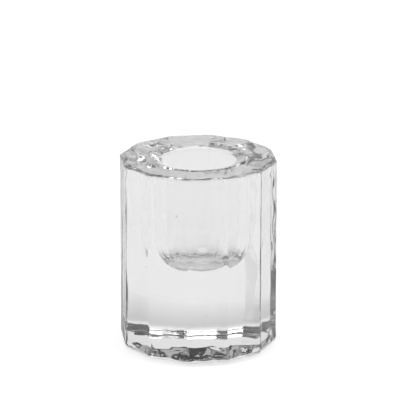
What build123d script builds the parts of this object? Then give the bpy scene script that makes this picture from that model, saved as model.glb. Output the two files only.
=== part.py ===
"""Acrylic nail liquid dish: one piece of pressed clear glass, twelve-sided outside, with a round well.

Millimetres, +Z up. The origin is the centre of the foot, on the plane that it stands on, and a facet
faces each of +X, -X, +Y and -Y.
"""

import os
from math import cos, radians, sin

from build123d import *

# The faceted body.
facet_count = 12
across_flats = 35.0
height = 44.3
edge_round = 1.2  # upright edges between the facets, softened by fire polishing
foot_round = 1.9  # edge between the facets and the underside
rim_round = 0.5  # outer edge of the rim

# The shallow hollow under the foot, which leaves a flat ring to stand on.
hollow_radius = 11.5
hollow_rise = 0.95
hollow_edge_round = 4.0

# The well, and the bevel that leads into it from the flat rim.
mouth_radius = 8.35  # where the bevel meets the wall
bevel_width = 2.45
bevel_drop = 0.64
bevel_round = 3.0  # softens the bevel into the rim
lip_round = 1.2  # softens the bevel into the wall
wall_draft = 1.1  # degrees that the wall leans in as it goes down, so that the plunger draws out
well_depth = 25.4  # from the rim to the lowest point of the round bottom


def faceted_block():
    """The solid prism, with each of its edges softened."""
    outline = RegularPolygon(
        across_flats / 2, facet_count, major_radius=False, rotation=180 / facet_count
    )
    block = extrude(outline, height)
    upright_edges = block.edges().filter_by(Axis.Z)
    block = fillet(upright_edges, edge_round)
    foot_edges = block.edges().group_by(Axis.Z)[0]
    block = fillet(foot_edges, foot_round)
    rim_edges = block.edges().group_by(Axis.Z)[-1]
    return fillet(rim_edges, rim_round)


def hollowed(block):
    """The block with a ball pressed up into its underside, and the edge of that hollow softened."""
    ball_radius = (hollow_radius**2 + hollow_rise**2) / (2 * hollow_rise)
    block -= Pos(0, 0, hollow_rise - ball_radius) * Sphere(ball_radius)
    foot_edges = block.edges().group_by(Axis.Z)[0]
    return fillet(foot_edges.filter_by(GeomType.CIRCLE).sort_by(SortBy.LENGTH)[-1], hollow_edge_round)


def well_space():
    """The space of the well and its bevel, turned about the upright axis."""
    draft = radians(wall_draft)
    lip_z = height - bevel_drop
    bottom_z = height - well_depth
    # The bottom is the ball that rests on the lowest point and touches the wall all round.
    ball_radius = (mouth_radius * cos(draft) - (lip_z - bottom_z) * sin(draft)) / (1 - sin(draft))
    wall_foot = (ball_radius * cos(draft), bottom_z + ball_radius * (1 - sin(draft)))
    bevel_radius = mouth_radius + bevel_width
    above_rim = height + bevel_width
    bottom = TangentArc((0, bottom_z), wall_foot, tangent=(1, 0))
    sides = Polyline(
        wall_foot,
        (mouth_radius, lip_z),
        (bevel_radius, height),
        (bevel_radius + bevel_width, height),
        (bevel_radius + bevel_width, above_rim),
        (0, above_rim),
        (0, bottom_z),
    )
    outline = make_face(Plane.XZ * (bottom + sides))
    for radius, level, rounding in (
        (mouth_radius, lip_z, lip_round),
        (bevel_radius, height, bevel_round),
    ):
        corner = outline.vertices().sort_by_distance((radius, 0, level))[0]
        outline = fillet(corner, rounding)
    return revolve(outline, Axis.Z)


def glass_body():
    body = hollowed(faceted_block()) - well_space()
    body.label = "glass_body"
    return body


os.makedirs("parts", exist_ok=True)
export_step(glass_body(), "parts/glass_body.step")
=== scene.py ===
"""Look of the nail liquid dish: one pressed, fire-polished piece of thick clear glass on a pale floor."""

import random
from math import atan2, cos, hypot, pi, radians, sin, sqrt, tan

import bpy
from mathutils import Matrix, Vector


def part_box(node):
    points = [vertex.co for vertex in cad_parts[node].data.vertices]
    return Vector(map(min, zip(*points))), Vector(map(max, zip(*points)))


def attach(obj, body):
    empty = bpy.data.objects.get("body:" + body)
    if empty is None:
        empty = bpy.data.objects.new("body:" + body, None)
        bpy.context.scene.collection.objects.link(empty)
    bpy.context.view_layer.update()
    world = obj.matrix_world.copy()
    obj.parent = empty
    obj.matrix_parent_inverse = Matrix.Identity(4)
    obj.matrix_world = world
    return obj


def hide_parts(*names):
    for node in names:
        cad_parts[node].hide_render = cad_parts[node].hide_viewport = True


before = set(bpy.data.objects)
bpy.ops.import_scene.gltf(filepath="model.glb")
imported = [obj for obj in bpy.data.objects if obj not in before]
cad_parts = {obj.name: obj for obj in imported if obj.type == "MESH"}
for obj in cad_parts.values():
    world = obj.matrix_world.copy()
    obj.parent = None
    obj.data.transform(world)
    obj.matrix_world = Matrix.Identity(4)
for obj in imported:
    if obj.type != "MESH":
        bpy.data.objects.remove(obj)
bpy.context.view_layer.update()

MM = 0.001
low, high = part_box("glass_body")
HEIGHT = high[2] - low[2]
APOTHEM = (high[0] - low[0]) / 2
FACETS = 12
HALF_FACET = pi / FACETS
CORNER = APOTHEM / cos(HALF_FACET)

# The camera's turn round the dish and its tilt, and its right and forward on the floor.
VIEW_TURN = radians(-7)
VIEW_TILT = radians(18.03)
RIGHT = Vector((cos(VIEW_TURN), sin(VIEW_TURN), 0))
FORWARD = Vector((-sin(VIEW_TURN), cos(VIEW_TURN), 0))
UP = Vector((0, 0, 1))

# The pressed body.
EDGE_ROUND = 2.0 * MM
FOOT_ROUND = 1.9 * MM
HOLLOW_RADIUS = 11.5 * MM
HOLLOW_RISE = 0.95 * MM
RIM_ROUND = 0.5 * MM
RIM_LAND = 1.2 * MM  # the worn margin of the rim, sloping outward
RIM_SLOPE = radians(9)
RIM_BLEND = 2.5 * MM
RIM_FLAT = 1.1 * MM  # what the profile holds of the flat rim, inside its worn margin

# The well and the bevel that leads into it.
MOUTH_RADIUS = 8.35 * MM
BEVEL_WIDTH = 2.45 * MM
BEVEL_DROP = 0.64 * MM
BEVEL_ROUND = 0.8 * MM
BEAD_RISE = 0.15 * MM  # the raised bead round the bevel's upper edge
BEAD_WIDTH = 0.9 * MM
BEAD_ROUND = 1.0 * MM
BEAD_APRON = 0.6 * MM  # what the profile holds of the flat rim, outside the bead
LIP_ROUND = 1.2 * MM
WALL_DRAFT = radians(1.1)
WELL_DEPTH = 25.2 * MM
BOWL_DEPTH = 7.0 * MM
BOWL_FULLNESS = 2.4  # the power of the bowl's superellipse: 2 is an ellipse, more is a flatter bottom
RUN_OUT = 0.35 * MM  # the plunger's run-out: the well stands this far off the body's axis
RUN_OUT_DEPTH = 2 * MM  # the depth from which the well has all of that run-out

LIP_Z = HEIGHT - BEVEL_DROP
WELL_FLOOR_Z = HEIGHT - WELL_DEPTH
BOWL_Z = WELL_FLOOR_Z + BOWL_DEPTH
BOWL_RADIUS = MOUTH_RADIUS - (LIP_Z - BOWL_Z) * tan(WALL_DRAFT)

# The fineness of the mesh.
FLAT_STEPS = 20
ARC_STEPS = 8
RIM_STEPS = 6
BOWL_STEPS = 24
ROW_STEP = 0.6 * MM
TURN_STEP = radians(9)
UNDERSIDE_STEP = 1.5 * MM
UNDERSIDE_EDGE = 3.5 * MM  # how far inside the facets the underside's plain rings end
UNDERSIDE_TILT = -0.99  # a normal that points lower than this is the underside's
INNER_ROUND = 0.2 * MM  # the least rounding of a ring's corners


# ---------------------------------------------------------------- outline and profile


def facet_outline(apothem, corner_round):
    """Points and outward normals of the twelve-sided section, one column each."""
    columns = []
    half_flat = (apothem - corner_round) * tan(HALF_FACET)
    to_centre = (apothem - corner_round) / cos(HALF_FACET)
    for facet in range(FACETS):
        facing = 2 * HALF_FACET * facet
        out = Vector((cos(facing), sin(facing), 0))
        along = Vector((-sin(facing), cos(facing), 0))
        for step in range(FLAT_STEPS + 1):
            offset = half_flat * (2 * step / FLAT_STEPS - 1)
            columns.append((apothem * out + offset * along, out))
        corner = facing + HALF_FACET
        centre = to_centre * Vector((cos(corner), sin(corner), 0))
        for step in range(1, ARC_STEPS):
            turn = facing + 2 * HALF_FACET * step / ARC_STEPS
            out_here = Vector((cos(turn), sin(turn), 0))
            columns.append((centre + corner_round * out_here, out_here))
    return columns


def circle_columns(radius):
    """The same columns laid on a circle, each at its own angle."""
    angles = [atan2(point.y, point.x) for point, _ in facet_outline(APOTHEM, EDGE_ROUND)]
    return [(radius * Vector((cos(a), sin(a), 0)), Vector((cos(a), sin(a), 0))) for a in angles]


def rounded_path(corners):
    """Points and left-hand normals along a path through corners of (distance, height, rounding)."""
    path = []

    def run(start, end):
        length = (end - start).length
        count = max(1, round(length / ROW_STEP))
        direction = (end - start) / length
        normal = Vector((-direction.y, direction.x))
        for step in range(count + 1):
            path.append((start + (end - start) * step / count, normal))

    points = [Vector((distance, z)) for distance, z, _ in corners]
    start = points[0]
    for index in range(1, len(points) - 1):
        before, here, after = points[index - 1], points[index], points[index + 1]
        rounding = corners[index][2]
        into = (here - before).normalized()
        away = (after - here).normalized()
        turn = into.angle_signed(away)  # positive turns clockwise
        tangent = rounding * tan(abs(turn) / 2)
        arc_start = here - tangent * into
        run(start, arc_start)
        side = 1 if turn < 0 else -1
        left = Vector((-into.y, into.x))
        centre = arc_start + side * rounding * left
        count = max(2, round(abs(turn) / TURN_STEP))
        for step in range(1, count):
            part = -turn * step / count
            normal = cos(part) * left - sin(part) * into
            path.append((centre - side * rounding * normal, normal))
        start = here + tangent * away
    run(start, points[-1])
    return path


# ---------------------------------------------------------------- fire-polished waviness

# How strong the swirls and the chatter are in each place; the swirls beside the mouth are 1.
FOOT_SWIRLS = 0.6
LIP_CHATTER = 3.0
RIM_CHATTER = 1.2
FOOT_CHATTER = 4.0
BACK_SHARE = 0.2  # how much of the front foot's unevenness the back of the foot has
STANDING_GAP = 0.1 * MM  # the underside is raised by this, so that its waves stay above the floor

# Where they fade in, each as (none of it here, all of it here).
FRONT_FROM = (3 * MM, -3 * MM)
SWIRLS_FROM_ASIDE = (6 * MM, 11 * MM)
SWIRLS_NEAR_RIM = (HEIGHT - 6 * MM, HEIGHT - 1 * MM)
SWIRLS_NEAR_FOOT = (9 * MM, 3 * MM)
LIP_FROM_MOUTH = (1.6 * MM, 0.8 * MM)
LIP_FROM_Z = (HEIGHT - 2.2 * MM, HEIGHT - 1.4 * MM)
RIM_FROM_RADIUS = (APOTHEM - 1.7 * MM, APOTHEM - 0.7 * MM)
RIM_FROM_Z = (HEIGHT - 1.6 * MM, HEIGHT - 0.8 * MM)
FOOT_FROM_RADIUS = (APOTHEM - 4.5 * MM, APOTHEM - 3 * MM)
FOOT_FROM_Z = (3 * MM, 1.5 * MM)


class Waves:
    """A gentle unevenness of the surface: sine waves with seeded directions, as a height and its slope.

    With upright under 1 the waves run level, so that their crests stand upright.
    """

    def __init__(self, seed, count, lengths, height, upright=1.0):
        draw = random.Random(seed)
        self.waves = []
        for _ in range(count):
            direction = Vector((draw.gauss(0, 1), draw.gauss(0, 1), draw.gauss(0, upright))).normalized()
            length = draw.uniform(*lengths)
            phase = draw.uniform(0, 2 * pi)
            self.waves.append((direction * 2 * pi / length, phase, height / sqrt(count)))

    def at(self, point):
        rise = 0.0
        slope = Vector((0, 0, 0))
        for direction, phase, height in self.waves:
            angle = direction.dot(point) + phase
            rise += height * sin(angle)
            slope += direction * (height * cos(angle))
        return rise, slope


BROAD = Waves(seed=7, count=24, lengths=(6 * MM, 16 * MM), height=0.025 * MM)
SWIRLS = Waves(seed=13, count=24, lengths=(3 * MM, 7 * MM), height=0.045 * MM)
CHATTER = Waves(seed=5, count=24, lengths=(1.4 * MM, 3.2 * MM), height=0.01 * MM, upright=0.3)


def fade(value, start, end):
    """0 at the start and 1 at the end, with a smooth way between."""
    part = min(1, max(0, (value - start) / (end - start)))
    return part * part * (3 - 2 * part)


def unevenness(point):
    """The surface's rise and slope at a point: broad waves all over, swirls and chatter in places."""
    radius = hypot(point.x, point.y)
    front = max(BACK_SHARE, fade(point.dot(FORWARD), *FRONT_FROM))
    beside_mouth = fade(point.z, *SWIRLS_NEAR_RIM) * fade(abs(point.dot(RIGHT)), *SWIRLS_FROM_ASIDE)
    swirls = beside_mouth + FOOT_SWIRLS * fade(point.z, *SWIRLS_NEAR_FOOT) * front
    lip = fade(abs(radius - MOUTH_RADIUS), *LIP_FROM_MOUTH) * fade(point.z, *LIP_FROM_Z)
    rim = fade(radius, *RIM_FROM_RADIUS) * fade(point.z, *RIM_FROM_Z)
    foot = fade(radius, *FOOT_FROM_RADIUS) * fade(point.z, *FOOT_FROM_Z) * front
    chatter = LIP_CHATTER * lip + RIM_CHATTER * rim + FOOT_CHATTER * foot
    rise = 0.0
    slope = Vector((0, 0, 0))
    for waves, share in ((BROAD, 1), (SWIRLS, swirls), (CHATTER, chatter)):
        if share:
            part, tilt = waves.at(point)
            rise += share * part
            slope += share * tilt
    return rise, slope


def hollowed(point, normal):
    """The underside's point and normal raised into its shallow hollow; other points stay as they are."""
    radius = hypot(point.x, point.y)
    if normal.z > UNDERSIDE_TILT or radius > HOLLOW_RADIUS:
        return point, normal
    rise = HOLLOW_RISE * (1 - (radius / HOLLOW_RADIUS) ** 2)
    slope = 2 * HOLLOW_RISE / HOLLOW_RADIUS ** 2
    return point + rise * UP, Vector((-slope * point.x, -slope * point.y, -1)).normalized()


def waved(point, normal):
    """The point lifted by the waves, and its tilted normal; the underside is raised clear of the floor."""
    point, normal = hollowed(point, normal)
    rise, slope = unevenness(point)
    across = slope - slope.dot(normal) * normal
    clear = STANDING_GAP * max(0, -normal.z) * UP
    return point + normal * rise + clear, (normal - across).normalized()


# ---------------------------------------------------------------- the body


def ring_row(ring, centre, outward, upward):
    """The ring's columns moved to a centre, with normals that point so far outward and upward."""
    return [(point + centre, (out * outward + UP * upward).normalized()) for point, out in ring]


def outer_rows():
    """Rows from the underside's centre, round the foot and up the facets onto the rim."""
    ring_start = APOTHEM - UNDERSIDE_EDGE
    count = round(ring_start / UNDERSIDE_STEP)
    base = facet_outline(ring_start, INNER_ROUND)
    rows = [[(point * step / count, -UP) for point, _ in base] for step in range(1, count)]
    # Corners as (how far inside the facets, height, rounding).
    profile = rounded_path([
        (UNDERSIDE_EDGE, 0, 0),
        (0, 0, FOOT_ROUND),
        (0, HEIGHT - RIM_LAND * tan(RIM_SLOPE), RIM_ROUND),
        (RIM_LAND, HEIGHT, RIM_BLEND),
        (RIM_LAND + RIM_FLAT, HEIGHT, 0),
    ])
    for (inset, z), normal in profile:
        ring = facet_outline(APOTHEM - inset, max(EDGE_ROUND - inset, INNER_ROUND))
        rows.append(ring_row(ring, z * UP, -normal.x, normal.y))
    return rows


def rim_rows(bead_start):
    """Rows across the flat rim, from the facets to the circle where the bevel's bead starts."""
    ring = facet_outline(APOTHEM - RIM_LAND - RIM_FLAT, INNER_ROUND)
    pairs = list(zip(ring, circle_columns(bead_start)))
    rows = []
    for step in range(1, RIM_STEPS):
        across = step / RIM_STEPS
        rows.append([(outer.lerp(inner, across) + HEIGHT * UP, UP) for (outer, _), (inner, _) in pairs])
    return rows


def well_rows(bead_start):
    """Rows over the bead and the bevel, down the wall and round the bowl, each one a circle."""
    # Corners as (radius, height, rounding).
    profile = rounded_path([
        (bead_start, HEIGHT, 0),
        (MOUTH_RADIUS + BEVEL_WIDTH + BEAD_WIDTH, HEIGHT, BEAD_ROUND),
        (MOUTH_RADIUS + BEVEL_WIDTH, HEIGHT + BEAD_RISE, BEVEL_ROUND),
        (MOUTH_RADIUS, LIP_Z, LIP_ROUND),
        (BOWL_RADIUS, BOWL_Z, 0),
    ])
    for step in range(1, BOWL_STEPS):
        turn = pi / 2 * step / BOWL_STEPS
        across = cos(turn) ** (2 / BOWL_FULLNESS)
        down = sin(turn) ** (2 / BOWL_FULLNESS)
        normal = Vector((
            across ** (BOWL_FULLNESS - 1) / BOWL_RADIUS,
            -down ** (BOWL_FULLNESS - 1) / BOWL_DEPTH,
        )).normalized()
        profile.append((Vector((BOWL_RADIUS * across, BOWL_Z - BOWL_DEPTH * down)), normal))
    rows = []
    for (radius, z), normal in profile:
        off = RUN_OUT * min(1, (HEIGHT - z) / RUN_OUT_DEPTH)
        rows.append(ring_row(circle_columns(radius), z * UP + off * RIGHT, -normal.x, -normal.y))
    return rows


def closed_surface(rows, first_pole, last_pole):
    """Points, normals and faces through rows of as many columns each, closed by a pole at each end."""
    points = []
    normals = []

    def add(point, normal):
        place, tilted = waved(point, normal)
        points.append(place)
        normals.append(tilted)
        return len(points) - 1

    ids = [[add(point, normal) for point, normal in row] for row in rows]
    first = add(*first_pole)
    last = add(*last_pole)
    columns = len(rows[0])
    faces = []
    for c in range(columns):
        d = (c + 1) % columns
        faces.append((first, ids[0][d], ids[0][c]))
        faces.append((last, ids[-1][c], ids[-1][d]))
        for lower, upper in zip(ids, ids[1:]):
            faces.append((lower[c], lower[d], upper[d], upper[c]))
    return points, normals, faces


# ---------------------------------------------------------------- air seeds

SEED_COUNT = 9
SEED_SIZES = (0.09 * MM, 0.16 * MM)
SEEDS_PATTERN = 3  # the number that their random places start from
SEEDS_INSIDE_FACETS = 1.5 * MM
SEEDS_Z = (3 * MM, HEIGHT - 4 * MM)
SEEDS_UNDER_WELL = 1.5 * MM
SEEDS_ROUND_WELL = 2 * MM
SEED_SIDES = 12
SEED_LEVELS = 7


def seeds():
    """Centres and sizes of the small air seeds that stayed in the glass beside and under the well."""
    draw = random.Random(SEEDS_PATTERN)
    found = []
    while len(found) < SEED_COUNT:
        turn = draw.uniform(0, 2 * pi)
        radius = draw.uniform(0, APOTHEM - SEEDS_INSIDE_FACETS)
        z = draw.uniform(*SEEDS_Z)
        if z > WELL_FLOOR_Z - SEEDS_UNDER_WELL and radius < MOUTH_RADIUS + SEEDS_ROUND_WELL:
            continue
        found.append((Vector((radius * cos(turn), radius * sin(turn), z)), draw.uniform(*SEED_SIZES)))
    return found


def add_seed(points, normals, faces, centre, size):
    """A small closed bubble inside the glass; its faces look into the bubble, away from the glass."""
    first = len(points)
    for level in range(1, SEED_LEVELS):
        rise = pi * level / SEED_LEVELS - pi / 2
        for step in range(SEED_SIDES):
            turn = 2 * pi * step / SEED_SIDES
            out = Vector((cos(rise) * cos(turn), cos(rise) * sin(turn), sin(rise)))
            points.append(centre + size * out)
            normals.append(-out)
    bottom = len(points)
    top = bottom + 1
    for side in (-1, 1):
        points.append(centre + side * size * UP)
        normals.append(-side * UP)
    top_level = (SEED_LEVELS - 2) * SEED_SIDES
    for step in range(SEED_SIDES):
        here = first + step
        beside = first + (step + 1) % SEED_SIDES
        faces.append((bottom, here, beside))
        faces.append((top, beside + top_level, here + top_level))
        for level in range(SEED_LEVELS - 2):
            a, b = here + level * SEED_SIDES, beside + level * SEED_SIDES
            faces.append((a, a + SEED_SIDES, b + SEED_SIDES, b))


def make_body():
    """The dish and its air seeds as one mesh, whose normals come from the profile and the waves."""
    bead_start = MOUTH_RADIUS + BEVEL_WIDTH + BEAD_WIDTH + BEAD_APRON
    points, normals, faces = closed_surface(
        outer_rows() + rim_rows(bead_start) + well_rows(bead_start),
        (Vector((0, 0, 0)), -UP),
        (RUN_OUT * RIGHT + WELL_FLOOR_Z * UP, UP),
    )
    for centre, size in seeds():
        add_seed(points, normals, faces, centre, size)
    mesh = bpy.data.meshes.new("pressed_glass")
    mesh.from_pydata([tuple(p) for p in points], [], faces)
    mesh.shade_smooth()
    mesh.update()
    mesh.normals_split_custom_set_from_vertices([tuple(n) for n in normals])
    piece = bpy.data.objects.new("pressed_glass", mesh)
    bpy.context.collection.objects.link(piece)
    return piece


# ---------------------------------------------------------------- materials

GLASS_INDEX = 1.5
CLOUDS = (90, 3)  # the scale and detail of the cloudiness
CLOUD_EDGES = (0.3, 0.7)  # the noise levels of a cloudy place and a clear one
CLEARNESS = (0.965, 0.992)  # how much light a cloudy place and a clear one let through
SCUFFS = (1400, 5)  # the scale and detail of the scuffs under the foot
SCUFF_EDGES = (0.5, 0.75)  # the noise levels of unworn glass and a full scuff
FOOT_WEAR = 0.12  # the roughness of a scuff
FOOT_WEAR_Z = (0.1 * MM, 0.4 * MM)

FLOOR_COLOUR = 0.82
FLOOR_LIFT = 0.55
FLOOR_LIFT_IN_GLASS = 0.235
FOOT_SHADE = 0.25  # what is left of the lift in glass in the dish's shadow round the foot
FOOT_SHADE_REACH = (19 * MM, 44 * MM)
UNDER_FOOT = (APOTHEM - 1.5 * MM, APOTHEM)  # that lift is whole again under the clear foot


class Graph:
    """The node tree of a material or world, with short calls for the nodes that repeat here."""

    def __init__(self, owner):
        owner.use_nodes = True
        self.nodes = owner.node_tree.nodes
        self.links = owner.node_tree.links

    def node(self, kind, **settings):
        node = self.nodes.new(kind)
        for name, value in settings.items():
            setattr(node, name, value)
        return node

    def math(self, operation, *values):
        node = self.node("ShaderNodeMath", operation=operation)
        for socket, value in zip(node.inputs, values):
            if isinstance(value, (int, float)):
                socket.default_value = value
            else:
                self.links.new(value, socket)
        return node.outputs[0]

    def fade(self, value, start, end, first=0, last=1):
        """The first number up to the start and the last from the end on, with a smooth way between."""
        node = self.node("ShaderNodeMapRange", interpolation_type="SMOOTHSTEP")
        for name, number in (("From Min", start), ("From Max", end), ("To Min", first), ("To Max", last)):
            node.inputs[name].default_value = number
        self.links.new(value, node.inputs["Value"])
        return node.outputs["Result"]


def clear_glass():
    """Clear glass with a faint cloudiness, and fine scuffs on the ring the foot stands on."""
    material = bpy.data.materials.new("clear_glass")
    graph = Graph(material)
    shader = graph.nodes["Principled BSDF"]
    shader.inputs["IOR"].default_value = GLASS_INDEX
    shader.inputs["Transmission Weight"].default_value = 1.0
    place = graph.node("ShaderNodeTexCoord").outputs["Object"]

    def noise(scale, detail):
        node = graph.node("ShaderNodeTexNoise")
        node.inputs["Scale"].default_value = scale
        node.inputs["Detail"].default_value = detail
        graph.links.new(place, node.inputs["Vector"])
        return node.outputs["Fac"]

    clearness = graph.fade(noise(*CLOUDS), *CLOUD_EDGES, *CLEARNESS)
    colour = graph.node("ShaderNodeCombineColor")
    for channel in ("Red", "Green", "Blue"):
        graph.links.new(clearness, colour.inputs[channel])
    graph.links.new(colour.outputs[0], shader.inputs["Base Color"])

    split = graph.node("ShaderNodeSeparateXYZ")
    graph.links.new(place, split.inputs[0])
    foot = graph.fade(split.outputs["Z"], *FOOT_WEAR_Z, 1, 0)
    scuffs = graph.fade(noise(*SCUFFS), *SCUFF_EDGES, 0, FOOT_WEAR)
    graph.links.new(graph.math("MULTIPLY", foot, scuffs), shader.inputs["Roughness"])
    return material


def floor_material():
    """A pale matt floor, lifted for the camera and through glass, less so in the dish's shadow."""
    material = bpy.data.materials.new("pale_floor")
    graph = Graph(material)
    graph.nodes.clear()
    matt = graph.node("ShaderNodeBsdfDiffuse")
    matt.inputs["Color"].default_value = (FLOOR_COLOUR, FLOOR_COLOUR, FLOOR_COLOUR, 1)

    place = graph.node("ShaderNodeTexCoord").outputs["Object"]
    distance = graph.node("ShaderNodeVectorMath", operation="LENGTH")
    graph.links.new(place, distance.inputs[0])
    from_axis = distance.outputs["Value"]
    shadow = graph.fade(from_axis, *FOOT_SHADE_REACH, FOOT_SHADE, 1)
    under = graph.fade(from_axis, *UNDER_FOOT, 1, 0)
    path = graph.node("ShaderNodeLightPath")
    in_glass = graph.math("MULTIPLY", path.outputs["Is Transmission Ray"], FLOOR_LIFT_IN_GLASS)
    shaded = graph.math("MULTIPLY", in_glass, graph.math("MAXIMUM", shadow, under))
    seen = graph.math("MULTIPLY", path.outputs["Is Camera Ray"], FLOOR_LIFT)
    lift = graph.node("ShaderNodeEmission")
    graph.links.new(graph.math("ADD", shaded, seen), lift.inputs["Strength"])

    both = graph.node("ShaderNodeAddShader")
    out = graph.node("ShaderNodeOutputMaterial")
    graph.links.new(matt.outputs[0], both.inputs[0])
    graph.links.new(lift.outputs[0], both.inputs[1])
    graph.links.new(both.outputs[0], out.inputs["Surface"])
    return material


# ---------------------------------------------------------------- studio

FLOOR_RADIUS = 0.9
FLOOR_SIDES = 64
FLOOR_Z = -0.05 * MM
BOUNCES = 40
MIRRORINGS = 10
ROOM_LEVEL = 0.05

LEFT_SIDES = (-133, -85)
RIGHT_SIDES = (62, 125)
SIDE_HEIGHTS = (57, 66)
SIDE_LEVEL = 3.6
SKIRT_HEIGHTS = (42, 57)
SKIRT_LEVEL = 0.75
PANELS = [
    # name, azimuth from behind the dish and elevation (degrees, lowest and highest), softness, level
    ("backdrop", (-60, 60), (-10, 28), 1, 0.75),
    ("left_side", LEFT_SIDES, SIDE_HEIGHTS, 1, SIDE_LEVEL),
    ("right_side", RIGHT_SIDES, SIDE_HEIGHTS, 1, SIDE_LEVEL),
    ("left_skirt", LEFT_SIDES, SKIRT_HEIGHTS, 1, SKIRT_LEVEL),
    ("right_skirt", RIGHT_SIDES, SKIRT_HEIGHTS, 1, SKIRT_LEVEL),
    ("overhead", (-180, 180), (72, 91), 1, 3.8),
]
# Narrow faint screens behind the dish, alike at the left and the right, for the foot to mirror.
SCREEN_HEIGHTS = (31, 47)
SCREEN_SOFTNESS = 0.5
SCREEN_LEVEL = 0.38
SCREEN_STRIPS = [(36, 45), (29, 33), (24, 26), (14, 20), (8, 11), (2.5, 5)]
for inner, outer in SCREEN_STRIPS:
    PANELS.append(("left_screen", (-outer, -inner), SCREEN_HEIGHTS, SCREEN_SOFTNESS, SCREEN_LEVEL))
    PANELS.append(("right_screen", (inner, outer), SCREEN_HEIGHTS, SCREEN_SOFTNESS, SCREEN_LEVEL))


def make_floor():
    """A wide flat disc just below the foot."""
    mesh = bpy.data.meshes.new("floor")
    turns = [2 * pi * side / FLOOR_SIDES for side in range(FLOOR_SIDES)]
    ring = [(FLOOR_RADIUS * cos(turn), FLOOR_RADIUS * sin(turn), FLOOR_Z) for turn in turns]
    mesh.from_pydata(ring, [], [tuple(range(FLOOR_SIDES))])
    floor = bpy.data.objects.new("floor", mesh)
    bpy.context.collection.objects.link(floor)
    floor.data.materials.append(floor_material())


def make_world():
    """The panels that light the dish, painted on the world; the camera itself sees plain white."""
    world = bpy.data.worlds.new("studio")
    bpy.context.scene.world = world
    graph = Graph(world)
    graph.nodes.clear()
    coords = graph.node("ShaderNodeTexCoord")
    turned = graph.node("ShaderNodeVectorRotate", rotation_type="Z_AXIS")
    turned.inputs["Angle"].default_value = -VIEW_TURN
    graph.links.new(coords.outputs["Generated"], turned.inputs["Vector"])
    split = graph.node("ShaderNodeSeparateXYZ")
    graph.links.new(turned.outputs[0], split.inputs[0])
    azimuth = graph.math("ARCTAN2", split.outputs["X"], split.outputs["Y"])
    elevation = graph.math("ARCSINE", split.outputs["Z"])
    level = ROOM_LEVEL
    for name, sides, heights, softness, strength in PANELS:
        middle = radians(sum(sides) / 2)
        half = radians((sides[1] - sides[0]) / 2)
        soft = radians(softness)
        bottom, top = radians(heights[0]), radians(heights[1])
        away = graph.math("WRAP", graph.math("SUBTRACT", azimuth, middle), pi, -pi)
        across = graph.fade(graph.math("ABSOLUTE", away), half + soft, half)
        above = graph.fade(elevation, bottom - soft, bottom)
        below = graph.fade(elevation, top + soft, top)
        panel = graph.math("MULTIPLY", graph.math("MULTIPLY", across, above), below)
        panel.node.label = name
        level = graph.math("ADD", level, graph.math("MULTIPLY", panel, strength))
    path = graph.node("ShaderNodeLightPath")
    back = graph.node("ShaderNodeBackground")
    back.inputs["Color"].default_value = (1, 1, 1, 1)
    out = graph.node("ShaderNodeOutputWorld")
    seen = graph.math("MAXIMUM", level, path.outputs["Is Camera Ray"])
    graph.links.new(seen, back.inputs["Strength"])
    graph.links.new(back.outputs[0], out.inputs["Surface"])


# The camera's place in corner radii: aside of the dish's axis, away from it, and above the floor.
EYE_ASIDE = 0.022
EYE_AWAY = 43.12
EYE_ABOVE = 15.906
LENS = 323.6
SENSOR = 36
FARTHEST = 50


def make_camera():
    """The camera that takes the photo's view of the dish."""
    data = bpy.data.cameras.new("camera")
    data.sensor_width = SENSOR
    data.lens = LENS
    data.clip_end = FARTHEST
    eye = bpy.data.objects.new("camera", data)
    bpy.context.collection.objects.link(eye)
    eye.location = CORNER * (EYE_ASIDE * RIGHT - EYE_AWAY * FORWARD + EYE_ABOVE * UP)
    look = FORWARD * cos(VIEW_TILT) - UP * sin(VIEW_TILT)
    eye.rotation_euler = look.to_track_quat("-Z", "Y").to_euler()
    bpy.context.scene.camera = eye


body = make_body()
body.data.materials.append(clear_glass())
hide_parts("glass_body")
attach(body, "root")
make_floor()
make_world()
make_camera()
bpy.context.scene.view_settings.view_transform = "Standard"
# Light is mirrored many times inside the glass before it leaves.
bpy.context.scene.cycles.max_bounces = BOUNCES
bpy.context.scene.cycles.glossy_bounces = MIRRORINGS
bpy.context.scene.cycles.transmission_bounces = BOUNCES
